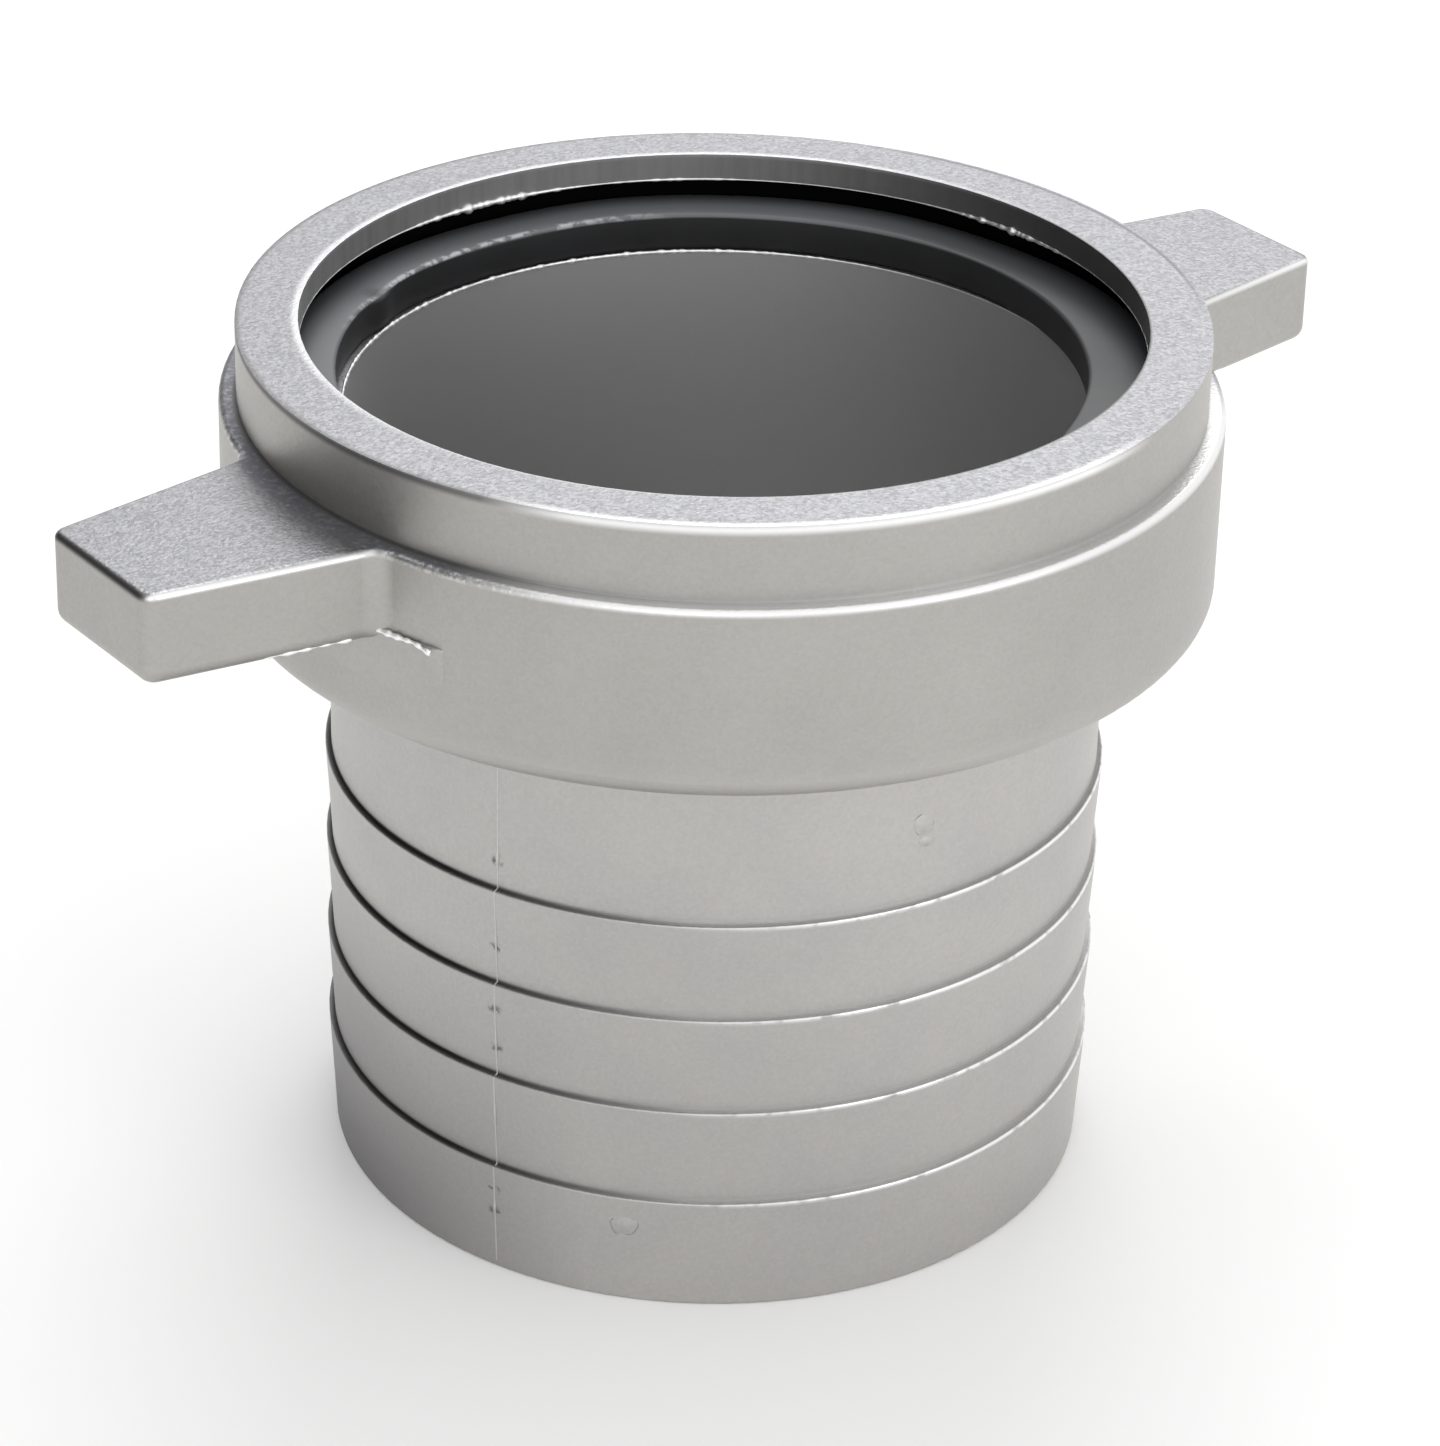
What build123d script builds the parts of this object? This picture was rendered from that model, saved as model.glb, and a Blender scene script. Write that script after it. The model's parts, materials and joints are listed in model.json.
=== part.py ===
"""Lugged swivel coupling for 4 inch suction and fire hose.

Three pieces on one vertical axis: a hose tail with four barbs, a lug nut that
turns on the tail's collar, and the rubber washer that the nut clamps against
the tail's sealing face. The origin is the middle of the tail's foot, with the
nut's mouth towards +Z and its two lugs along X. All sizes are in millimetres.
"""

import os
from math import sqrt

from build123d import *

os.makedirs("parts", exist_ok=True)

# ---- Hose tail -----------------------------------------------------------
bore_radius = 49.3         # the waterway
tail_wall = 2.1            # wall of the plain band, and under each barb's ledge
barb_depth = 0.8           # width of the ledge at the top of a barb
barb_count = 4
barb_pitch = 13.8
nose_height = 16.1         # foot to the ledge of the lowest barb
nose_taper = 0.9           # how far the foot draws in from the barbs' crests
plain_height = 28.5        # top ledge to the underside of the collar
collar_width = 3.0         # how far the collar stands out from the plain band
collar_height = 20.5
crest_round = 0.25
foot_round = 0.5

# ---- Washer --------------------------------------------------------------
washer_thickness = 5.4
washer_bore_gap = 0.4      # the washer's hole is this much wider than the waterway
washer_edge_round = 0.5

# ---- Lug nut -------------------------------------------------------------
barb_pass_gap = 0.5        # the floor's hole over the barbs' crests, for assembly
collar_pass_gap = 0.5      # the mouth over the collar, for assembly
floor_thickness = 5.0
seat_gap = 0.3             # nut's floor to the underside of the collar
socket_depth = 4.4         # how far the socket is cut back behind the lip
washer_side_gap = 1.7      # socket wall to the washer's edge
socket_height = 3.1        # washer to the underside of the lip
lip_height = 3.7
ring_wall = 8.1            # mouth to the outside of the upper ring
ring_height = 10.1         # rim to the shoulder
shoulder_width = 2.3       # how far the bell stands out from the upper ring
ring_edge_round = 1.0
mouth_chamfer = 0.4
shoulder_round = 0.9
bell_foot_rise = 4.5       # height of the rounding under the bell
bell_foot_land = 1.6       # flat left around the floor's hole

# ---- Lugs ----------------------------------------------------------------
lug_reach = 28.3           # bell to the lug's end face
lug_root_width = 31.4
lug_tip_width = 22.3
lug_thickness = 12.4
lug_root_fillet = 3.5
lug_tip_round = 2.2        # upright corners of the lug's end
lug_under_round = 2.0

# ---- Worked out from the sizes above -------------------------------------
band_radius = bore_radius + tail_wall
crest_radius = band_radius + barb_depth
foot_radius = crest_radius - nose_taper
collar_radius = band_radius + collar_width
top_ledge_height = nose_height + (barb_count - 1) * barb_pitch
collar_underside = top_ledge_height + plain_height
sealing_height = collar_underside + collar_height

floor_hole_radius = crest_radius + barb_pass_gap
mouth_radius = collar_radius + collar_pass_gap
socket_radius = mouth_radius + socket_depth
ring_radius = mouth_radius + ring_wall
bell_radius = ring_radius + shoulder_width
floor_top = collar_underside - seat_gap
nut_foot = floor_top - floor_thickness
lip_underside = sealing_height + washer_thickness + socket_height
rim_height = lip_underside + lip_height
shoulder_height = rim_height - ring_height
bell_foot_width = bell_radius - floor_hole_radius - bell_foot_land

washer_radius = socket_radius - washer_side_gap
washer_hole_radius = bore_radius + washer_bore_gap


# ---- Hose tail -----------------------------------------------------------
# Turned outline: foot, barbs that widen to a sharp ledge facing the nut,
# plain band, and the collar whose top is the sealing face.
tail_outline = [(bore_radius, 0), (foot_radius, 0), (crest_radius, nose_height)]
for barb in range(1, barb_count):
    ledge_height = nose_height + barb * barb_pitch
    tail_outline.append((band_radius, ledge_height - barb_pitch))
    tail_outline.append((crest_radius, ledge_height))
tail_outline += [
    (band_radius, top_ledge_height),
    (band_radius, collar_underside),
    (collar_radius, collar_underside),
    (collar_radius, sealing_height),
    (bore_radius, sealing_height),
]

with BuildPart() as hose_tail:
    with BuildSketch(Plane.XZ):
        with BuildLine():
            Polyline(*tail_outline, close=True)
        make_face()
        crests = vertices().filter_by(lambda v: abs(v.X - crest_radius) < 1e-4)
        fillet(crests, radius=crest_round)
        foot = vertices().filter_by(lambda v: abs(v.X - foot_radius) < 1e-4 and v.Z < 1e-4)
        fillet(foot, radius=foot_round)
    revolve(axis=Axis.Z)
hose_tail.part.label = "hose_tail"
export_step(hose_tail.part, "parts/hose_tail.step")


# ---- Sealing washer ------------------------------------------------------
# A flat ring that lies on the tail's sealing face, under the nut's lip.
with BuildPart() as sealing_washer:
    with BuildSketch(Plane.XY.offset(sealing_height)):
        Circle(washer_radius)
        Circle(washer_hole_radius, mode=Mode.SUBTRACT)
    extrude(amount=washer_thickness)
    top_edges = edges().filter_by(GeomType.CIRCLE).group_by(Axis.Z)[-1]
    fillet(top_edges, radius=washer_edge_round)
sealing_washer.part.label = "sealing_washer"
export_step(sealing_washer.part, "parts/sealing_washer.step")


# ---- Lug nut -------------------------------------------------------------
with BuildPart() as lug_nut:
    # Lugs and the bell's shoulder, as one plate with its outline in plan.
    with BuildSketch(Plane.XY.offset(shoulder_height - lug_thickness)):
        Circle(bell_radius)
        root_x = sqrt(bell_radius ** 2 - (lug_root_width / 2) ** 2)
        tip_x = bell_radius + lug_reach
        with BuildLine():
            Polyline(
                (-tip_x, -lug_tip_width / 2),
                (-root_x, -lug_root_width / 2),
                (-root_x, lug_root_width / 2),
                (-tip_x, lug_tip_width / 2),
                close=True,
            )
        make_face()
        with BuildLine():
            Polyline(
                (tip_x, -lug_tip_width / 2),
                (root_x, -lug_root_width / 2),
                (root_x, lug_root_width / 2),
                (tip_x, lug_tip_width / 2),
                close=True,
            )
        make_face()
        roots = vertices().filter_by(lambda v: abs(abs(v.X) - root_x) < 1e-3)
        fillet(roots, radius=lug_root_fillet)
        tips = vertices().filter_by(lambda v: abs(abs(v.X) - tip_x) < 1e-3)
        fillet(tips, radius=lug_tip_round)
    extrude(amount=lug_thickness)
    fillet(edges().group_by(Axis.Z)[0], radius=lug_under_round)
    fillet(edges().group_by(Axis.Z)[-1], radius=shoulder_round)

    # Bell under the shoulder, with its foot rounded in towards the tail.
    with BuildSketch(Plane.XZ):
        with BuildLine():
            bell_wall = Line(
                (bell_radius, shoulder_height - shoulder_round),
                (bell_radius, nut_foot + bell_foot_rise),
            )
            bell_foot = EllipticalCenterArc(
                (bell_radius - bell_foot_width, nut_foot + bell_foot_rise),
                bell_foot_width,
                bell_foot_rise,
                start_angle=270,
                arc_size=90,
            )
            Polyline(
                bell_foot @ 0,
                (floor_hole_radius, nut_foot),
                (floor_hole_radius, shoulder_height - shoulder_round),
                bell_wall @ 0,
            )
        make_face()
    revolve(axis=Axis.Z)

    # Upper ring.
    with BuildSketch(Plane.XZ):
        with BuildLine():
            Polyline(
                (mouth_radius, shoulder_height - lug_thickness),
                (ring_radius, shoulder_height - lug_thickness),
                (ring_radius, rim_height),
                (mouth_radius, rim_height),
                close=True,
            )
        make_face()
        rim = vertices().filter_by(lambda v: abs(v.X - ring_radius) < 1e-4 and abs(v.Z - rim_height) < 1e-4)
        fillet(rim, radius=ring_edge_round)
        lip = vertices().filter_by(lambda v: abs(v.X - mouth_radius) < 1e-4 and abs(v.Z - rim_height) < 1e-4)
        chamfer(lip, length=mouth_chamfer)
    revolve(axis=Axis.Z)

    # Inside: the mouth, the socket behind the lip, and the hole in the floor.
    with BuildSketch(Plane.XZ):
        with BuildLine():
            Polyline(
                (0, nut_foot),
                (floor_hole_radius, nut_foot),
                (floor_hole_radius, floor_top),
                (socket_radius, floor_top),
                (socket_radius, lip_underside),
                (mouth_radius, lip_underside),
                (mouth_radius, rim_height - mouth_chamfer),
                (0, rim_height - mouth_chamfer),
                close=True,
            )
        make_face()
    revolve(axis=Axis.Z, mode=Mode.SUBTRACT)
lug_nut.part.label = "lug_nut"
export_step(lug_nut.part, "parts/lug_nut.step")
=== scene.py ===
"""Looks of the lugged swivel hose coupling: a bead-blasted aluminium casting.

The nut and the tail are the frame's own solids. Added here are the moulded
washer, the burrs on the lip's and the waterway's edges, the pads under the lugs
and the flash along both, and the tail's parting line and blisters.
Lengths are metres, in the frame: +Z out of the mouth, +X through the lugs.
"""

import json
from math import cos, radians, sin

import bpy
import numpy as np
from mathutils import Matrix, Vector


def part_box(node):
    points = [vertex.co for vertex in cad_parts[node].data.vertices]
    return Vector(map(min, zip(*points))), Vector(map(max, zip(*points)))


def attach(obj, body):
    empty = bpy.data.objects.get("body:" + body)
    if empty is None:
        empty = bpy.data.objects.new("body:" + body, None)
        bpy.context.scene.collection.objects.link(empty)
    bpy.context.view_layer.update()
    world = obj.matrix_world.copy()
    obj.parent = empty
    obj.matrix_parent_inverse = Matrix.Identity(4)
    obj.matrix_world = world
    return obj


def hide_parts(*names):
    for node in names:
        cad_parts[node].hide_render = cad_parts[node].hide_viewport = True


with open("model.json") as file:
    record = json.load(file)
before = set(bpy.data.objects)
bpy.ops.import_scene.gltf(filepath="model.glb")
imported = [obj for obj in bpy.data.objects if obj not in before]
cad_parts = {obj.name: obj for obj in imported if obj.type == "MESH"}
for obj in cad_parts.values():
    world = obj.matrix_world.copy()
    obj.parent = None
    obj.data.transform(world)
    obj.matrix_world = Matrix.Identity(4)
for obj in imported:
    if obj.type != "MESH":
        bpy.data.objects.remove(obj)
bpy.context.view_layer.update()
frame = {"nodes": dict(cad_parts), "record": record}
MM = 0.001

# ---- Sizes read from the frame -------------------------------------------
nut_low, nut_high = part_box("lug_nut")
tail_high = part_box("hose_tail")[1]
washer_low, washer_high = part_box("sealing_washer")
mounts = {mount["name"]: mount for mount in frame["record"]["mounts"]}
mouth_radius = mounts["mouth"]["dims"]["r_mm"] * MM
bore_radius = mounts["waterway"]["dims"]["r_mm"] * MM
bell_radius = nut_high.y
washer_radius = washer_high.x

# ---- Sizes of the castings' details --------------------------------------
ring_radius = mouth_radius + 8.1 * MM
socket_radius = mouth_radius + 4.4 * MM
shoulder_height = nut_high.z - 10.1 * MM
lip_underside = nut_high.z - 3.7 * MM
band_radius = bore_radius + 2.1 * MM
crest_radius = band_radius + 0.8 * MM
lowest_ledge = 16.1 * MM
barb_pitch = 13.8 * MM
barb_count = 4
barb_ledges = [lowest_ledge + barb_pitch * barb for barb in range(barb_count)]
lug_root_half = 15.7 * MM  # half a lug's width at the bell
lug_tip_half = 11.15 * MM  # half a lug's width at its end
pad_top = shoulder_height - 10.7 * MM
pad_half_angle = 21.5      # degrees from the lug's middle to the pad's end


# ---- Helpers -------------------------------------------------------------
def linear(hex_colour):
    """sRGB hex to linear RGBA."""
    parts = [int(hex_colour[i : i + 2], 16) / 255 for i in (1, 3, 5)]
    curve = [c / 12.92 if c <= 0.04045 else ((c + 0.055) / 1.055) ** 2.4 for c in parts]
    return (*curve, 1.0)


def add(tree, kind, inputs=None, **settings):
    """Adds a node with its settings, and links or sets its inputs."""
    node = tree.nodes.new(kind)
    for name, value in settings.items():
        setattr(node, name, value)
    for socket, value in (inputs or {}).items():
        if isinstance(value, bpy.types.NodeSocket):
            tree.links.new(value, node.inputs[socket])
        else:
            node.inputs[socket].default_value = value
    return node


def toward(azimuth, elevation):
    """Unit vector to a viewer at that azimuth (0 looks along +Y) and elevation."""
    a, e = radians(azimuth), radians(elevation)
    return Vector((sin(a) * cos(e), -cos(a) * cos(e), sin(e)))


def new_material(name):
    """A material with only its Principled shader, ready for a pattern."""
    material = bpy.data.materials.new(name)
    material.use_nodes = True
    tree = material.node_tree
    return material, tree, tree.nodes["Principled BSDF"]


FACTOR, COLOUR_A, COLOUR_B, MIXED = 0, 6, 7, 2    # sockets of a colour Mix node
NUMBER_A, NUMBER_B = 2, 3                         # the same, of a number Mix node


def axis_place(tree):
    """Where a point is on the coupling: its position, its distance from the
    axis and its height."""
    place = add(tree, "ShaderNodeTexCoord").outputs["Object"]
    flat = add(tree, "ShaderNodeVectorMath", {0: place, 1: (1, 1, 0)}, operation="MULTIPLY")
    radius = add(tree, "ShaderNodeVectorMath", {0: flat.outputs["Vector"]}, operation="LENGTH")
    height = add(tree, "ShaderNodeSeparateXYZ", {"Vector": place})
    return place, radius.outputs["Value"], height.outputs["Z"]


def near(tree, value, middle, reach):
    """1 where the value is at the middle, falling smoothly to 0 at the reach."""
    offset = add(tree, "ShaderNodeMath", {0: value, 1: middle}, operation="SUBTRACT")
    gap = add(tree, "ShaderNodeMath", {0: offset.outputs[0]}, operation="ABSOLUTE")
    return add(
        tree,
        "ShaderNodeMapRange",
        {"Value": gap.outputs[0], "From Min": 0.0, "From Max": reach, "To Min": 1.0, "To Max": 0.0},
        interpolation_type="SMOOTHSTEP",
    ).outputs["Result"]


def both(tree, *masks):
    """The masks multiplied together."""
    product = masks[0]
    for mask in masks[1:]:
        times = add(tree, "ShaderNodeMath", {0: product, 1: mask}, operation="MULTIPLY")
        product = times.outputs[0]
    return product


def any_of(tree, *masks):
    """The strongest of the masks."""
    strongest = masks[0]
    for mask in masks[1:]:
        larger = add(tree, "ShaderNodeMath", {0: strongest, 1: mask}, operation="MAXIMUM")
        strongest = larger.outputs[0]
    return strongest


def side_facing(tree, place, radius, azimuth, low, high):
    """0 to 1 as a wall point's direction from the axis turns towards an azimuth:
    the cosine of the angle between them, stretched from low to high."""
    along = add(
        tree,
        "ShaderNodeVectorMath",
        {0: place, 1: toward(azimuth, 0)},
        operation="DOT_PRODUCT",
    ).outputs["Value"]
    cosine = add(tree, "ShaderNodeMath", {0: along, 1: radius}, operation="DIVIDE").outputs[0]
    return add(
        tree,
        "ShaderNodeMapRange",
        {"Value": cosine, "From Min": low, "From Max": high},
    ).outputs["Result"]


def specks(tree, place, size, low, high):
    """Torn-edged specks of about that size: a noise, cut off between two levels."""
    noise = add(tree, "ShaderNodeTexNoise", {"Vector": place, "Scale": 1 / size, "Detail": 2.0})
    return add(
        tree,
        "ShaderNodeMapRange",
        {"Value": noise.outputs["Fac"], "From Min": low, "From Max": high},
    ).outputs["Result"]


# ---- Materials -----------------------------------------------------------
# Azimuths of the sides that differ, in degrees, counted as in toward().
shaded_side = -127          # away from the lamps: where the painted shade goes
torn_highlight_side = -67            # the shoulder's edge is torn rough, with a speckled painted highlight
shoulder_highlight_side = -4       # the shoulder's edge has a smooth painted highlight, partly wear
rim_highlight_side = -22        # the rim's outer edge has a painted highlight
lined_side = 92            # the rim's outer edge is a thin grey line
edge_highlight_side = -172         # the mouth's and the waterway's edges have a painted highlight
lit_side = 53            # facing the lamps
seam_side = -68.8          # the tail's parting line

seam_pit_heights = [mm * MM for mm in (9.0, 12.5, 34.0, 40.0, 49.0, 61.5)]


def cast_aluminium(name, light_colour, dark_colour, top_shade_colour, layers):
    """Bead-blasted aluminium casting: dull silver, almost smooth on its upright
    walls, with a sparkling grain of about half a millimetre on its flat tops.
    The flat tops take a darker tone, a painted shade that holds the lamps
    back there. The layers lay painted shade and painted highlights, partly on
    edges with real wear, and bare machined metal and pits over it."""
    cloud_size, grain_size, flake_size = 14 * MM, 0.5 * MM, 0.45 * MM
    blast_depth = 0.075 * MM
    material, tree, shader = new_material(name)
    place, radius, height = axis_place(tree)
    facing = add(tree, "ShaderNodeTexCoord").outputs["Normal"]
    upward = add(
        tree,
        "ShaderNodeMapRange",
        {
            "Value": add(tree, "ShaderNodeSeparateXYZ", {"Vector": facing}).outputs["Z"],
            "From Min": 0.6,
            "From Max": 0.95,
        },
    ).outputs["Result"]
    cloud = add(
        tree,
        "ShaderNodeTexNoise",
        {"Vector": place, "Scale": 1 / cloud_size, "Detail": 3.0},
    ).outputs["Fac"]
    grain = add(
        tree,
        "ShaderNodeTexNoise",
        {"Vector": place, "Scale": 1 / grain_size, "Detail": 2.0},
    ).outputs["Fac"]
    flake = add(tree, "ShaderNodeTexVoronoi", {"Vector": place, "Scale": 1 / flake_size})
    tone = add(
        tree,
        "ShaderNodeMix",
        {FACTOR: cloud, COLOUR_A: linear(dark_colour), COLOUR_B: linear(light_colour)},
        data_type="RGBA",
    )
    # The flat tops take the darker top tone: a painted shade.
    tone_and_top_shade = add(
        tree,
        "ShaderNodeMix",
        {FACTOR: upward, COLOUR_A: tone.outputs[MIXED], COLOUR_B: linear(top_shade_colour)},
        data_type="RGBA",
    )
    flake_tone = add(tree, "ShaderNodeSeparateXYZ", {"Vector": flake.outputs["Color"]}).outputs["X"]
    glitter = add(
        tree,
        "ShaderNodeMapRange",
        {"Value": flake_tone, "To Min": 0.8, "To Max": 1.16},
    ).outputs["Result"]
    calm = add(
        tree,
        "ShaderNodeMapRange",
        {"Value": flake_tone, "To Min": 0.97, "To Max": 1.03},
    ).outputs["Result"]
    grit = add(
        tree,
        "ShaderNodeMix",
        {FACTOR: upward, NUMBER_A: calm, NUMBER_B: glitter},
        data_type="FLOAT",
    )
    base_and_painted_light = add(
        tree,
        "ShaderNodeVectorMath",
        {0: tone_and_top_shade.outputs[MIXED], "Scale": grit.outputs[0]},
        operation="SCALE",
    ).outputs["Vector"]
    dull = add(
        tree,
        "ShaderNodeMapRange",
        {"Value": grain, "To Min": 0.38, "To Max": 0.58},
    ).outputs["Result"]
    # The layers lay painted shade and painted highlights, with real tool streaks and pits, over the
    # colour.
    for mask, colour, roughness in layers(tree, place, radius, height):
        base_and_painted_light = add(
            tree,
            "ShaderNodeMix",
            {FACTOR: mask, COLOUR_A: base_and_painted_light, COLOUR_B: linear(colour)},
            data_type="RGBA",
        ).outputs[MIXED]
        dull = add(
            tree,
            "ShaderNodeMix",
            {FACTOR: mask, NUMBER_A: dull, NUMBER_B: roughness},
            data_type="FLOAT",
        ).outputs[0]
    relief = add(
        tree,
        "ShaderNodeMapRange",
        {"Value": upward, "To Min": 0.25, "To Max": 1.0},
    ).outputs["Result"]
    pitted = both(tree, grain, relief)
    bump = add(
        tree,
        "ShaderNodeBump",
        {"Height": pitted, "Distance": blast_depth, "Strength": 1.0},
    )
    tree.links.new(base_and_painted_light, shader.inputs["Base Color"])
    tree.links.new(dull, shader.inputs["Roughness"])
    tree.links.new(bump.outputs["Normal"], shader.inputs["Normal"])
    shader.inputs["Metallic"].default_value = 1.0
    return material


def nut_layers(tree, place, radius, height):
    """A paler foot of the bell, painted light that lifts its shade; tool-streaked
    metal inside the lip, with painted shade on its wall at the lamps' side, and
    near-black painted shade in the socket under the lip; speckled painted shade
    on the ledge of the side away from the lamps, and a line of painted shade at
    the ring's foot, darker on that side; painted shade on the rim's edge there
    too, a painted highlight on it towards the front, and a thin grey line on a
    third side; the lugs' end edges darker; and painted highlights, partly wear,
    on the lugs' long edges, the mouth's edge and the shoulder's edge, speckled
    where that edge is torn. Each layer is its mask, colour and roughness."""
    streaked = add(
        tree,
        "ShaderNodeVectorMath",
        {0: place, 1: (1, 1, 0.06)},
        operation="MULTIPLY",
    ).outputs["Vector"]
    inside = add(
        tree,
        "ShaderNodeMapRange",
        {
            "Value": radius,
            "From Min": mouth_radius + 0.35 * MM,
            "From Max": mouth_radius + 0.1 * MM,
        },
    ).outputs["Result"]
    under_lip = add(
        tree,
        "ShaderNodeMath",
        {0: height, 1: lip_underside + 0.02 * MM},
        operation="LESS_THAN",
    ).outputs[0]
    in_socket = add(
        tree,
        "ShaderNodeMath",
        {0: radius, 1: socket_radius + 0.3 * MM},
        operation="LESS_THAN",
    ).outputs[0]
    # Painted shade: near black in the socket under the lip.
    socket_shade = both(tree, under_lip, in_socket)
    # Painted light: the bell's foot is paler to lift its shade.
    bell_foot_light = near(tree, height, nut_low.z, 7 * MM)
    # The side away from the lamps, which takes the painted shade.
    shaded = side_facing(tree, place, radius, shaded_side, -0.25, 0.6)
    lip_shade = both(tree, inside, side_facing(tree, place, radius, lit_side, -0.2, 0.8))
    # Painted shade in the corner at the ring's foot, darker on the side away from the lamps.
    ring_foot_shade = both(
        tree,
        near(tree, radius, ring_radius + 0.15 * MM, 0.6 * MM),
        near(tree, height, shoulder_height + 0.1 * MM, 0.5 * MM),
    )
    # Painted shade, speckled, on the shoulder's ledge on the side away from the lamps.
    ledge_shade_band = add(
        tree,
        "ShaderNodeMapRange",
        {"Value": radius, "From Min": ring_radius + 3.8 * MM, "From Max": ring_radius + 3.2 * MM},
    ).outputs["Result"]
    ledge = both(tree, ledge_shade_band, near(tree, height, shoulder_height, 0.5 * MM), shaded)
    # Painted shade on the rim's outer edge on the side away from the lamps.
    rim_edge_shade = both(
        tree,
        near(tree, radius, ring_radius - 0.1 * MM, 0.9 * MM),
        near(tree, height, nut_high.z - 0.4 * MM, 0.9 * MM),
        shaded,
    )
    rim_line = both(
        tree,
        near(tree, radius, ring_radius - 0.6 * MM, 0.5 * MM),
        near(tree, height, nut_high.z, 0.5 * MM),
        side_facing(tree, place, radius, lined_side, 0.8, 0.93),
    )
    # Painted highlight on the rim's rounded outer edge towards the front.
    rim_highlight = both(
        tree,
        near(tree, radius, ring_radius - 0.3 * MM, 1.1 * MM),
        near(tree, height, nut_high.z - 0.5 * MM, 1.0 * MM),
        side_facing(tree, place, radius, rim_highlight_side, 0.74, 0.86),
    )
    across = add(tree, "ShaderNodeVectorMath", {0: place}, operation="ABSOLUTE").outputs["Vector"]
    parts = add(tree, "ShaderNodeSeparateXYZ", {"Vector": across})
    beside_lugs = add(
        tree,
        "ShaderNodeMapRange",
        {
            "Value": parts.outputs["Y"],
            "From Min": lug_root_half,
            "From Max": lug_root_half + 1.5 * MM,
        },
    ).outputs["Result"]
    # Painted highlight on the shoulder's edge: speckled where torn on one side, smooth on another.
    torn_edge_highlight = both(
        tree,
        near(tree, radius, bell_radius - 0.2 * MM, 0.8 * MM),
        specks(tree, place, 0.8 * MM, 0.4, 0.6),
        side_facing(tree, place, radius, torn_highlight_side, 0.6, 0.8),
    )
    worn_shoulder_highlight = both(
        tree,
        near(tree, radius, bell_radius - 0.8 * MM, 3.0 * MM),
        side_facing(tree, place, radius, shoulder_highlight_side, 0.45, 0.62),
    )
    shoulder_highlight = both(
        tree,
        beside_lugs,
        near(tree, height, shoulder_height - 0.25 * MM, 0.9 * MM),
        any_of(tree, torn_edge_highlight, worn_shoulder_highlight),
    )
    # Painted highlight on the mouth's inner edge at the rear.
    mouth_highlight = both(
        tree,
        near(tree, radius, mouth_radius + 0.3 * MM, 1.0 * MM),
        near(tree, height, nut_high.z - 0.1 * MM, 0.5 * MM),
        side_facing(tree, place, radius, edge_highlight_side, -0.2, 0.6),
    )
    lug_side = add(
        tree,
        "ShaderNodeMapRange",
        {
            "Value": parts.outputs["X"],
            "From Min": bell_radius,
            "From Max": nut_high.x,
            "To Min": lug_root_half - 0.2 * MM,
            "To Max": lug_tip_half - 0.2 * MM,
        },
    ).outputs["Result"]
    to_side = add(
        tree,
        "ShaderNodeMath",
        {0: parts.outputs["Y"], 1: lug_side},
        operation="SUBTRACT",
    ).outputs[0]
    on_lug = add(
        tree,
        "ShaderNodeMapRange",
        {
            "Value": parts.outputs["X"],
            "From Min": bell_radius - 3 * MM,
            "From Max": bell_radius + 1 * MM,
        },
    ).outputs["Result"]
    # Painted highlight on the lugs' long top edges, which are also smoother.
    lug_edge_highlight = both(
        tree,
        on_lug,
        near(tree, to_side, 0.0, 0.7 * MM),
        near(tree, height, shoulder_height - 0.2 * MM, 0.8 * MM),
    )
    lug_end = both(
        tree,
        near(tree, parts.outputs["X"], nut_high.x - 0.1 * MM, 0.9 * MM),
        near(tree, height, shoulder_height - 0.3 * MM, 0.9 * MM),
    )
    return (
        (bell_foot_light, "#BDBBB7", 0.5),
        (inside, "#B2B2B2", 0.5),
        (both(tree, inside, specks(tree, streaked, 1.3 * MM, 0.4, 0.75)), "#A4A4A4", 0.5),
        (lip_shade, "#727272", 0.5),
        (socket_shade, "#161616", 0.8),
        (ledge, "#8C8C92", 0.6),
        (both(tree, ledge, specks(tree, place, 0.9 * MM, 0.5, 0.68)), "#A6A6AC", 0.55),
        (rim_edge_shade, "#6C6C6C", 0.55),
        (rim_line, "#7A7A80", 0.5),
        (rim_highlight, "#FCFCFC", 0.4),
        (lug_end, "#5E5E5D", 0.55),
        (ring_foot_shade, "#A4A4A2", 0.6),
        (both(tree, ring_foot_shade, shaded), "#727272", 0.6),
        (shoulder_highlight, "#FAFAFA", 0.35),
        (mouth_highlight, "#CDCDCF", 0.45),
        (lug_edge_highlight, "#FFFFFF", 0.22),
    )


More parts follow.
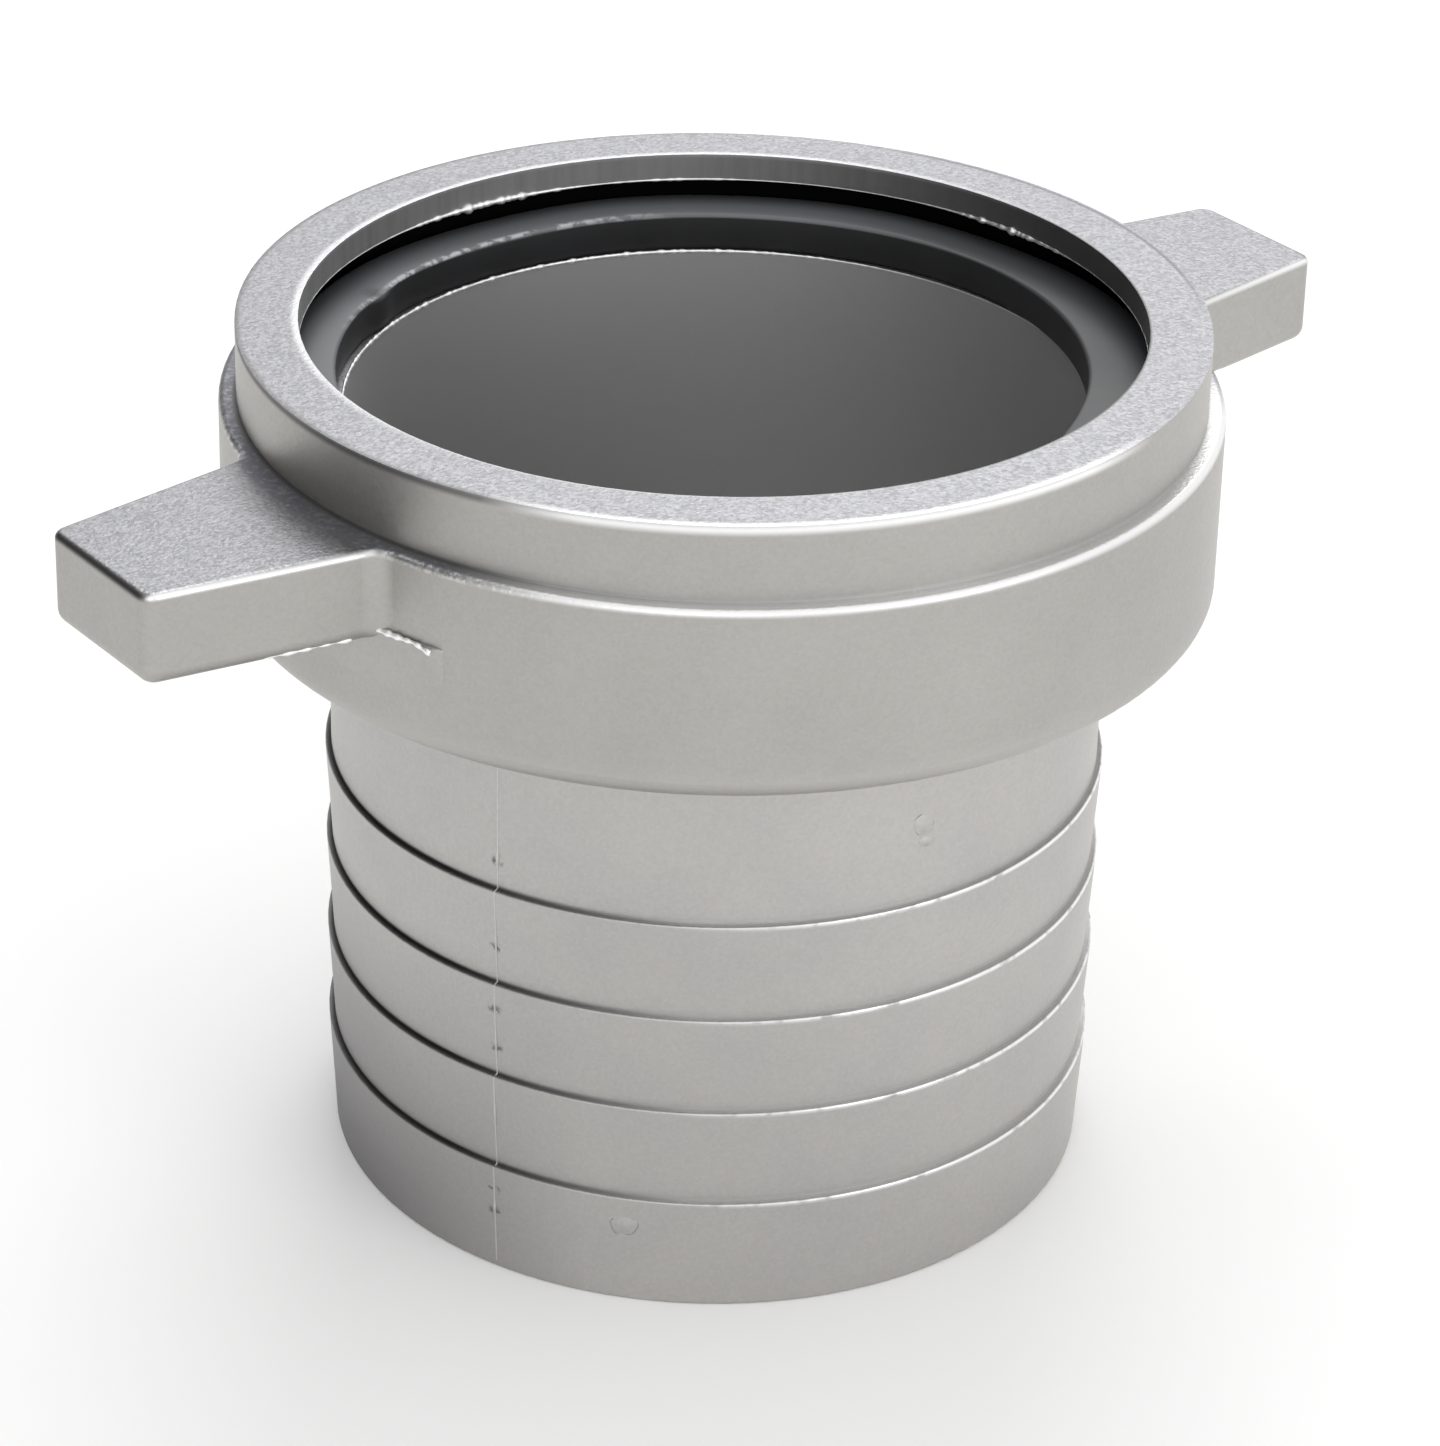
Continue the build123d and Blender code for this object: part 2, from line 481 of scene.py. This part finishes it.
def tail_layers(tree, place, radius, height):
    """Painted shade low on the side away from the lamps; a paler band under the
    nut, painted light that lifts its shadow; turned metal in the waterway; the
    barbs' ledges painted light against their contact shade, but painted dark
    shade on the side away from the lamps; a painted highlight on their crests
    on the side facing the lamps, broken into specks of wear; and pits beside
    the parting line. Each layer is its mask, colour and roughness."""
    bore = add(
        tree,
        "ShaderNodeMath",
        {0: radius, 1: bore_radius + 0.2 * MM},
        operation="LESS_THAN",
    ).outputs[0]
    # The side away from the lamps, which takes the painted shade.
    shaded = side_facing(tree, place, radius, shaded_side, 0.05, 0.65)
    # The side facing the lamps, which takes the crests' painted highlight.
    lit_facing = side_facing(tree, place, radius, lit_side, -0.1, 0.35)
    ledge_bands = [near(tree, height, ledge + 0.15 * MM, 0.6 * MM) for ledge in barb_ledges]
    crest_bands = [near(tree, height, ledge - 0.15 * MM, 0.6 * MM) for ledge in barb_ledges]
    # On the ledges: painted light against their contact shade, and painted shade on the side away
    # from the lamps.
    on_ledge = both(
        tree,
        near(tree, radius, band_radius + 0.1 * MM, 0.9 * MM),
        any_of(tree, *ledge_bands),
    )
    # Painted light: a paler band that lifts the shadow under the nut.
    under_nut_light = near(tree, height, nut_low.z - 0.5 * MM, 3 * MM)
    # Painted highlight on the crests on the side facing the lamps, broken into specks of wear.
    crest_highlight = both(
        tree,
        near(tree, radius, crest_radius, 0.4 * MM),
        any_of(tree, *crest_bands),
        specks(tree, place, 2.4 * MM, 0.28, 0.46),
        lit_facing,
    )
    # Painted shade, darker towards the foot on the side away from the lamps.
    low = add(
        tree,
        "ShaderNodeMapRange",
        {"Value": height, "From Min": 48 * MM, "From Max": 6 * MM, "To Max": 0.9},
    ).outputs["Result"]
    foot_shade = both(tree, low, side_facing(tree, place, radius, shaded_side, 0.3, 1.0))
    seam_pits = both(
        tree,
        side_facing(tree, place, radius, seam_side, 0.99975, 0.99993),
        any_of(tree, *[near(tree, height, pit, 0.9 * MM) for pit in seam_pit_heights]),
        specks(tree, place, 0.8 * MM, 0.42, 0.56),
    )
    return (
        (foot_shade, "#777578", 0.55),
        (under_nut_light, "#D6D4D0", 0.5),
        (bore, "#C0C0C0", 0.6),
        (on_ledge, "#C9C8C6", 0.5),
        (both(tree, on_ledge, shaded), "#2A2A2A", 0.6),
        (crest_highlight, "#F4F4F3", 0.3),
        (seam_pits, "#7C7A78", 0.6),
    )


def moulded_rubber():
    """Black nitrile rubber, moulded: near black, with a bluish grey painted sheen
    on its top that stands for the sky it mirrors, strongest at the inner edge,
    fading outwards as a painted shadow of the lip and weaker on the side facing
    the lamps, and a speckled painted highlight along its edge at the waterway
    on one side."""
    cloud_size, pore_size, pore_depth = 9 * MM, 0.4 * MM, 0.01 * MM
    material, tree, shader = new_material("moulded_rubber")
    place, radius, height = axis_place(tree)
    cloud = add(
        tree,
        "ShaderNodeTexNoise",
        {"Vector": place, "Scale": 1 / cloud_size, "Detail": 3.0},
    ).outputs["Fac"]
    pores = add(
        tree,
        "ShaderNodeTexNoise",
        {"Vector": place, "Scale": 1 / pore_size, "Detail": 1.0},
    ).outputs["Fac"]
    tone = add(
        tree,
        "ShaderNodeMix",
        {FACTOR: cloud, COLOUR_A: linear("#161617"), COLOUR_B: linear("#202124")},
        data_type="RGBA",
    )
    on_top = add(
        tree,
        "ShaderNodeMapRange",
        {
            "Value": height,
            "From Min": washer_high.z - 0.75 * MM,
            "From Max": washer_high.z - 0.5 * MM,
        },
    ).outputs["Result"]
    # Painted shadow of the lip: the sheen fades outwards under it.
    lip_shadow_fade = add(
        tree,
        "ShaderNodeMapRange",
        {
            "Value": radius,
            "From Min": mouth_radius + 3.0 * MM,
            "From Max": mouth_radius - 1.5 * MM,
            "To Min": 0.2,
        },
    ).outputs["Result"]
    lit_facing = side_facing(tree, place, radius, lit_side, 0.2, 0.95)
    # Weaker painted sheen on the side facing the lamps.
    thickness = add(
        tree,
        "ShaderNodeMapRange",
        {"Value": lit_facing, "To Min": 1.0, "To Max": 0.3},
    ).outputs["Result"]
    # Painted sheen: the bluish grey that the top mirrors from the sky.
    painted_sheen = both(tree, on_top, lip_shadow_fade, thickness)
    with_sheen = add(
        tree,
        "ShaderNodeMix",
        {FACTOR: painted_sheen, COLOUR_A: tone.outputs[MIXED], COLOUR_B: linear("#66686B")},
        data_type="RGBA",
    )
    # Painted highlight, speckled, along the washer's edge at the waterway on one side.
    waterway_edge_highlight = both(
        tree,
        on_top,
        near(tree, radius, bore_radius + 1.0 * MM, 0.9 * MM),
        side_facing(tree, place, radius, edge_highlight_side, 0.8, 0.95),
        specks(tree, place, 1.4 * MM, 0.42, 0.55),
    )
    with_waterway_highlight = add(
        tree,
        "ShaderNodeMix",
        {FACTOR: waterway_edge_highlight, COLOUR_A: with_sheen.outputs[MIXED], COLOUR_B: linear("#B4B5B7")},
        data_type="RGBA",
    )
    dull = add(tree, "ShaderNodeMapRange", {"Value": cloud, "To Min": 0.42, "To Max": 0.56})
    bump = add(
        tree,
        "ShaderNodeBump",
        {"Height": pores, "Distance": pore_depth, "Strength": 1.0},
    )
    tree.links.new(with_waterway_highlight.outputs[MIXED], shader.inputs["Base Color"])
    tree.links.new(dull.outputs["Result"], shader.inputs["Roughness"])
    tree.links.new(bump.outputs["Normal"], shader.inputs["Normal"])
    shader.inputs["IOR"].default_value = 1.52
    return material


# The third tone of each casting is its flat tops' darker tone, a painted shade.
nut_tones = ("#B3B1AD", "#AAA8A4", "#9A9A9D")
tail_tones = ("#BEBCB8", "#B4B2B1", "#A0A0A3")
nut_metal = cast_aluminium("blasted_cast_aluminium_nut", *nut_tones, nut_layers)
tail_metal = cast_aluminium("blasted_cast_aluminium_tail", *tail_tones, tail_layers)
rubber = moulded_rubber()
node_materials = {"lug_nut": nut_metal, "hose_tail": tail_metal, "sealing_washer": rubber}
for node, material in node_materials.items():
    mesh = frame["nodes"][node].data
    mesh.materials.clear()
    mesh.materials.append(material)


# ---- Added pieces --------------------------------------------------------
def piece_from(name, points, faces, material, body):
    """An object of the given points and faces, smooth, riding on its body."""
    mesh = bpy.data.meshes.new(name)
    mesh.from_pydata(points.reshape(-1, 3).tolist(), [], faces)
    mesh.polygons.foreach_set("use_smooth", np.ones(len(mesh.polygons), dtype=bool))
    mesh.materials.append(material)
    mesh.update()
    piece = bpy.data.objects.new(name, mesh)
    bpy.context.scene.collection.objects.link(piece)
    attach(piece, body)
    return piece


def grid_faces(rows, columns, closed_rows):
    """Quads between neighbouring sections of a swept surface. Each section is
    a closed loop, and the last row meets the first where closed_rows is set."""
    index = np.arange(rows * columns).reshape(rows, columns)
    following = np.roll(index, -1, axis=0)
    if not closed_rows:
        index, following = index[:-1], following[:-1]
    beside, corner = np.roll(index, -1, axis=1), np.roll(following, -1, axis=1)
    return np.stack([index, following, corner, beside], axis=-1).reshape(-1, 4).tolist()


def capped_faces(rows, columns):
    """The faces of a sweep that isn't closed, with one face over each end."""
    first = list(range(columns))
    last = [(rows - 1) * columns + column for column in first]
    return grid_faces(rows, columns, False) + [first, last[::-1]]


def around(radius, height, angle):
    """Points at a distance from the axis, a height and an angle about it."""
    return np.stack([radius * np.cos(angle), radius * np.sin(angle), height + 0 * angle], axis=-1)


def bell_curve(angle, middle, wide):
    """1 where the angle, in radians, is at the middle, falling to 1/e at the
    width to each side of it. The middle and the width are in degrees."""
    offset = np.mod(angle - radians(middle) + np.pi, 2 * np.pi) - np.pi
    return np.exp(-((offset / radians(wide)) ** 2))


def wavy_washer():
    """Moulded ring with slightly wavy edges. Its section is a rectangle with
    quarter-circle corners: corner + r (cos b, sin b). The inner edge and the
    top move in and out with a few sines of the angle. One narrow bell curve
    gives the fold where the edge has been nicked, and one wide bell curve the
    side where the soft ring bulges over the waterway."""
    angle = np.linspace(0, 2 * np.pi, 360, endpoint=False)[:, None]
    turn = np.linspace(0, np.pi / 2, 5)
    bend = np.concatenate([turn + quarter * np.pi / 2 for quarter in range(4)])[None, :]
    outer = np.repeat([1, 0, 0, 1], 5)[None, :]
    upper = np.repeat([1, 1, 0, 0], 5)[None, :]
    corner_radius = 0.6 * MM
    fold_width, fold_drop, bulge_width = 0.7 * MM, 0.5 * MM, 2.8 * MM
    fold = bell_curve(angle, 119, 3.4)
    bulge = bell_curve(angle, -52, 48)
    wave = 0.75 + 0.22 * np.sin(3 * angle + 0.6) + 0.12 * np.sin(7 * angle)
    inner_radius = bore_radius + wave * MM - fold_width * fold - bulge_width * bulge
    outer_radius = washer_radius - (0.15 + 0.12 * np.sin(5 * angle)) * MM
    top = washer_high.z - (0.22 + 0.12 * np.sin(4 * angle + 1.0) + 0.08 * np.sin(9 * angle)) * MM
    top = top - fold_drop * fold * (1 - outer)
    middle_radius = np.where(outer == 1, outer_radius - corner_radius, inner_radius + corner_radius)
    middle_height = np.where(upper == 1, top - corner_radius, washer_low.z + corner_radius)
    points = around(
        middle_radius + corner_radius * np.cos(bend),
        middle_height + corner_radius * np.sin(bend),
        angle,
    )
    faces = grid_faces(points.shape[0], points.shape[1], True)
    washer = piece_from("moulded_washer", points, faces, rubber, "tail")
    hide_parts("sealing_washer")


def ragged_bead(name, radius, height, thinnest, thickest, patches, body):
    """The burr that the turning tool left along a round edge: a thin round bead
    whose thickness is a constant plus, in patches, a ripple. A patch is a bell
    curve of the angle, given by its middle, its width and its weight."""
    angle = np.linspace(0, 2 * np.pi, 1440, endpoint=False)[:, None]
    bend = np.linspace(0, 2 * np.pi, 8, endpoint=False)[None, :]
    waves = np.sin(61 * angle) * np.sin(97 * angle + 1) * np.sin(23 * angle + 2)
    ripple = 0.35 + 0.65 * np.abs(waves)
    strength = sum(weight * bell_curve(angle, middle, wide) for middle, wide, weight in patches)
    bead = thinnest + (thickest - thinnest) * ripple * strength
    points = around(radius + bead * np.cos(bend), height + bead * np.sin(bend), angle)
    faces = grid_faces(points.shape[0], points.shape[1], True)
    piece_from(name, points, faces, burr_metal, body)


def wall_outline():
    """Heights and radii of the tail's outside wall, from foot to nut."""
    below_and_on = np.tile([-0.02 * MM, 0.0], barb_count)
    crest_and_band = np.tile([crest_radius, band_radius], barb_count)
    heights = np.concatenate([[0], np.repeat(barb_ledges, 2) + below_and_on, [nut_low.z]])
    radii = np.concatenate([[band_radius - 0.1 * MM], crest_and_band, [band_radius]])
    return heights, radii


def parting_line():
    """The seam of the tail's mould: a low ridge up the outside wall. Its
    section is half an ellipse on a buried base, and its path follows the wall
    over the barbs, with small bell curves where a burr was left. Each burr is
    its middle's height and its half width, both in mm, and its weight."""
    burrs = (
        (9.5, 0.7, 1.0),
        (24.0, 1.4, 0.5),
        (35.0, 1.0, 0.7),
        (50.0, 0.8, 0.6),
        (62.0, 1.2, 1.0),
    )
    half_width, proud, buried = 0.12, 0.04, 0.3    # mm, where there is no burr
    seam_angle = radians(seam_side - 90)
    height = np.linspace(1.0 * MM, nut_low.z + 3 * MM, 420)[:, None]
    wall = np.interp(height, *wall_outline())
    burr = sum(
        weight * np.exp(-(((height - middle * MM) / (wide * MM)) ** 2))
        for middle, wide, weight in burrs
    )
    bend = np.concatenate([np.linspace(0, np.pi, 7), [1.2 * np.pi, 1.8 * np.pi]])[None, :]
    sideways = (half_width + 0.12 * burr) * MM * np.cos(bend)
    ridge = (proud + 0.2 * burr) * MM * np.sin(bend)
    outwards = np.where(bend <= np.pi + 1e-6, ridge, -buried * MM)
    points = around(wall + outwards, height, seam_angle + sideways / wall)
    faces = capped_faces(*points.shape[:2])
    piece_from("tail_parting_line", points, faces, seam_metal, "tail")


def lug_pads():
    """The cast pads under the two lugs: a patch of the bell's wall that stands
    proud by half a millimetre and fades out downwards and to both sides. The
    height over the wall is a smooth step of the angle times one of the height."""
    reach = radians(pad_half_angle)
    pad_height, proud, buried = 9.0 * MM, 0.5 * MM, 0.12 * MM
    span = np.linspace(-1.12 * reach, 1.12 * reach, 121)[:, None]
    foot = pad_top - pad_height
    side = np.clip((reach - np.abs(span)) / radians(1.3) + 1, 0, 1)
    side = side * side * (3 - 2 * side)
    wall = np.linspace(0, 1, 24)[None, :]
    fade = np.clip(wall * 1.6, 0, 1)
    fade = fade * fade * (3 - 2 * fade)
    ragged = 0.12 * MM * np.sin(47 * span) * np.sin(83 * span + 1) * np.clip(wall * 8 - 7, 0, 1)
    outside = bell_radius - buried + side * ((proud + buried) * fade + ragged)
    heights = foot + pad_height * wall + 0 * span
    inside = np.full((len(span), 2), bell_radius - 1.2 * MM)
    radii = np.concatenate([outside, inside], axis=1)
    rise = np.concatenate([heights, np.tile([pad_top, foot], (len(span), 1))], axis=1)
    faces = capped_faces(*radii.shape)
    for name, middle in (("lug_pad_left", np.pi), ("lug_pad_right", 0.0)):
        points = around(radii, rise, span + middle)
        piece_from(name, points, faces, pad_metal, "nut")


def pad_burrs():
    """The bright flash along a pad's upper edge, where the mould's halves met:
    a thin round bead that follows the edge and turns down at both ends."""
    reach = radians(pad_half_angle - 0.3)
    way = np.linspace(-1.12, 1.12, 321)[:, None]
    bend = np.linspace(0, 2 * np.pi, 8, endpoint=False)[None, :]
    span = np.clip(way, -1, 1) * reach
    drop = np.clip(np.abs(way) - 0.9, 0, 1) * 7 * MM
    thinning = np.clip((1.12 - np.abs(way)) * 8, 0.1, 1)
    bead = (0.34 + 0.14 * np.sin(37 * way) * np.sin(61 * way + 1)) * MM * thinning
    sink = 3.2 * np.clip(np.abs(way) - 1, 0, 1)
    radii = bell_radius + (0.42 - sink) * MM + bead * np.cos(bend)
    rise = pad_top - drop + bead * np.sin(bend)
    faces = capped_faces(*radii.shape)
    for name, middle in (("pad_burr_left", np.pi), ("pad_burr_right", 0.0)):
        points = around(radii, rise, span + middle)
        piece_from(name, points, faces, burr_metal, "nut")


def lug_flash():
    """The thin flash along the lugs' lower long edges, from the root outwards:
    a round bead on a straight line, thinning to nothing towards the tip."""
    way = np.linspace(0, 1, 161)[:, None]
    bend = np.linspace(0, 2 * np.pi, 8, endpoint=False)[None, :]
    start, length = 1.5 * MM, 18 * MM
    thinning = np.clip(1.6 * (1.03 - way), 0.05, 1)
    bead = (0.3 + 0.2 * np.sin(17 * way) * np.sin(29 * way + 1)) * MM * thinning
    outwards = bell_radius + start + length * way
    half_width = np.interp(outwards, [bell_radius, nut_high.x], [lug_root_half, lug_tip_half])
    sideways = half_width - 0.93 * MM + bead * np.cos(bend)
    rise = shoulder_height - 11.8 * MM + bead * np.sin(bend)
    faces = capped_faces(*rise.shape)
    for name, turn in (("left", -1.0), ("right", 1.0)):
        for side, mirror in (("near", -1.0), ("far", 1.0)):
            points = np.stack([turn * outwards + 0 * bend, mirror * sideways, rise], axis=-1)
            facing = faces if turn * mirror < 0 else [face[::-1] for face in faces]
            label = f"lug_flash_{name}_{side}"
            piece_from(label, points, facing, burr_metal, "nut")


def casting_blisters():
    """Small blisters that gas left on the tail's wall: low domes with a wavy
    outline. Height over the wall is (1 - s^2)^2 of the distance s from the middle
    to the outline, and the outermost ring is buried in the wall. Each blister is
    its azimuth in degrees, and its height and radius in mm."""
    blisters = ((-6.0, 68.4, 1.6), (-5.4, 65.9, 1.0), (-48.4, 11.8, 1.7))
    crown_height, rim_depth, base_depth = 0.22 * MM, 0.02 * MM, 0.5 * MM
    share = np.linspace(0, 1, 9)[1:, None]
    turn = np.linspace(0, 2 * np.pi, 28, endpoint=False)[None, :]
    for number, (azimuth, height, wide) in enumerate(blisters):
        outline = wide * MM * (1 + 0.12 * np.sin(2 * turn + number) + 0.06 * np.sin(5 * turn))
        centre = np.arctan2(-cos(radians(azimuth)), sin(radians(azimuth)))
        rise = height * MM + share * outline * np.sin(turn)
        wall = np.interp(rise, *wall_outline())
        middle_wall = np.interp(height * MM, *wall_outline())
        lift = crown_height * (1 - share**2) ** 2 - rim_depth
        dome = around(wall + lift, rise, centre - share * outline * np.cos(turn) / wall)
        middle = np.array([centre])
        crown = around(middle_wall + crown_height - rim_depth, height * MM, middle)
        base = around(middle_wall - base_depth, height * MM, middle)
        points = np.concatenate([crown, dome.reshape(-1, 3), base])
        rings, sectors = dome.shape[:2]
        index = 1 + np.arange(rings * sectors).reshape(rings, sectors)
        beside = np.roll(index, -1, axis=1)
        quads = np.stack([index[:-1], index[1:], beside[1:], beside[:-1]], axis=-1)
        top = np.stack([0 * index[0], index[0], beside[0]], axis=-1).tolist()
        bottom = np.stack([0 * index[0] + len(points) - 1, beside[-1], index[-1]], axis=-1).tolist()
        faces = top + quads.reshape(-1, 4).tolist() + bottom
        label = f"casting_blister_{number + 1}"
        piece_from(label, points, faces, tail_metal, "tail")


def no_layers(tree, place, radius, height):
    """Nothing laid over the casting."""
    return ()


burr_metal = cast_aluminium("torn_bright_aluminium", "#FDFDFD", "#F0F0EF", "#FDFDFD", no_layers)
seam_metal = cast_aluminium("cast_aluminium_seam", "#CDCCC9", "#BEBCB9", "#CDCCC9", no_layers)
pad_metal = cast_aluminium("blasted_cast_aluminium_pad", *nut_tones, no_layers)
lip_patches = ((90, 11, 1.0), (8, 9, 0.8), (60, 8, 0.3), (200, 14, 0.6), (290, 10, 0.5))
bore_patches = ((115, 42, 1.0), (60, 26, 0.9))
bore_edge = bore_radius + 0.05 * MM
wavy_washer()
ragged_bead(
    "lip_burr",
    mouth_radius,
    lip_underside,
    thinnest=0.07 * MM,
    thickest=0.85 * MM,
    patches=lip_patches,
    body="nut",
)
ragged_bead(
    "bore_burr",
    bore_edge,
    tail_high.z,
    thinnest=0.09 * MM,
    thickest=0.44 * MM,
    patches=bore_patches,
    body="tail",
)
parting_line()
lug_pads()
pad_burrs()
lug_flash()
casting_blisters()


# ---- Floor, light and camera ---------------------------------------------
def rectangle(name, half_width, half_height, material):
    """A mesh of one rectangle about its own origin, facing along its +Z."""
    mesh = bpy.data.meshes.new(name)
    w, h = half_width, half_height
    mesh.from_pydata([(-w, -h, 0), (w, -h, 0), (w, h, 0), (-w, h, 0)], [], [(0, 1, 2, 3)])
    mesh.materials.append(material)
    return mesh


def white_floor():
    """A plain white floor that takes the object's shadow."""
    half = 2.5
    material, _, shader = new_material("matt_white_floor")
    shader.inputs["Base Color"].default_value = linear("#FCFCFC")
    shader.inputs["Roughness"].default_value = 1.0
    shader.inputs["Specular IOR Level"].default_value = 0.0
    floor = bpy.data.objects.new("floor", rectangle("floor", half, half, material))
    bpy.context.scene.collection.objects.link(floor)


def studio_world(ambient):
    """White where it is seen or mirrored, and ambient where it only lights."""
    world = bpy.data.worlds.new("studio")
    bpy.context.scene.world = world
    world.use_nodes = True
    tree = world.node_tree
    path = add(tree, "ShaderNodeLightPath")
    rays = [path.outputs[f"Is {kind} Ray"] for kind in ("Camera", "Glossy", "Transmission")]
    level = add(
        tree,
        "ShaderNodeMapRange",
        {"Value": any_of(tree, *rays), "To Min": ambient, "To Max": 1.0},
    )
    background = tree.nodes["Background"]
    background.inputs["Color"].default_value = (1, 1, 1, 1)
    tree.links.new(level.outputs["Result"], background.inputs["Strength"])


def aimed(back):
    """Rotation whose -Z axis runs along -back, with its X axis level."""
    right = Vector((0, 0, 1)).cross(back).normalized()
    up = back.cross(right)
    return Matrix((right, up, back)).transposed().to_4x4()


view_azimuth = -37.15
view_elevation = 26.6
view_distance = 0.661
view_roll = 1.4
object_middle = Vector((0, 0, 0.0801))


def place_around(thing, name, azimuth, elevation, distance):
    """Puts a lamp or card round the object; azimuth is counted from the camera's."""
    back = toward(view_azimuth + azimuth, elevation)
    holder = bpy.data.objects.new(name, thing)
    holder.matrix_world = Matrix.Translation(object_middle + back * distance) @ aimed(back)
    bpy.context.scene.collection.objects.link(holder)
    return holder


def soft_box(name, azimuth, elevation, distance, size, power):
    """A square lamp aimed at the object."""
    lamp = bpy.data.lights.new(name, "AREA")
    lamp.size = size
    lamp.energy = power
    place_around(lamp, name, azimuth, elevation, distance)


def dark_card(name, azimuth, elevation, distance, half_width, half_height):
    """A black card that only reflections see, to give bright metal its dark edges."""
    material, _, shader = new_material(name)
    shader.inputs["Base Color"].default_value = linear("#0A0A0A")
    shader.inputs["Specular IOR Level"].default_value = 0.0
    mesh = rectangle(name, half_width, half_height, material)
    card = place_around(mesh, name, azimuth, elevation, distance)
    card.visible_camera = False
    card.visible_diffuse = False
    card.visible_shadow = False


white_floor()
studio_world(ambient=0.9)
soft_box("back_key", azimuth=174, elevation=48, distance=1.2, size=0.6, power=4.4)
soft_box("right_key", azimuth=50, elevation=18, distance=1.1, size=0.5, power=1.5)
soft_box("front_fill", azimuth=-8, elevation=20, distance=1.4, size=0.8, power=1.6)
dark_card(
    "left_card",
    azimuth=-100,
    elevation=30,
    distance=0.8,
    half_width=0.7,
    half_height=0.4,
)

camera = bpy.data.cameras.new("camera")
camera.sensor_fit = "HORIZONTAL"
camera.sensor_width = 36
camera.lens = 124.7
camera.shift_x = 0.0014
camera.shift_y = -0.0993
camera.clip_start = 0.01
holder = place_around(camera, "camera", 0, view_elevation, view_distance)
holder.matrix_world = holder.matrix_world @ Matrix.Rotation(radians(view_roll), 4, "Z")
bpy.context.scene.camera = holder
bpy.context.scene.view_settings.view_transform = "Standard"
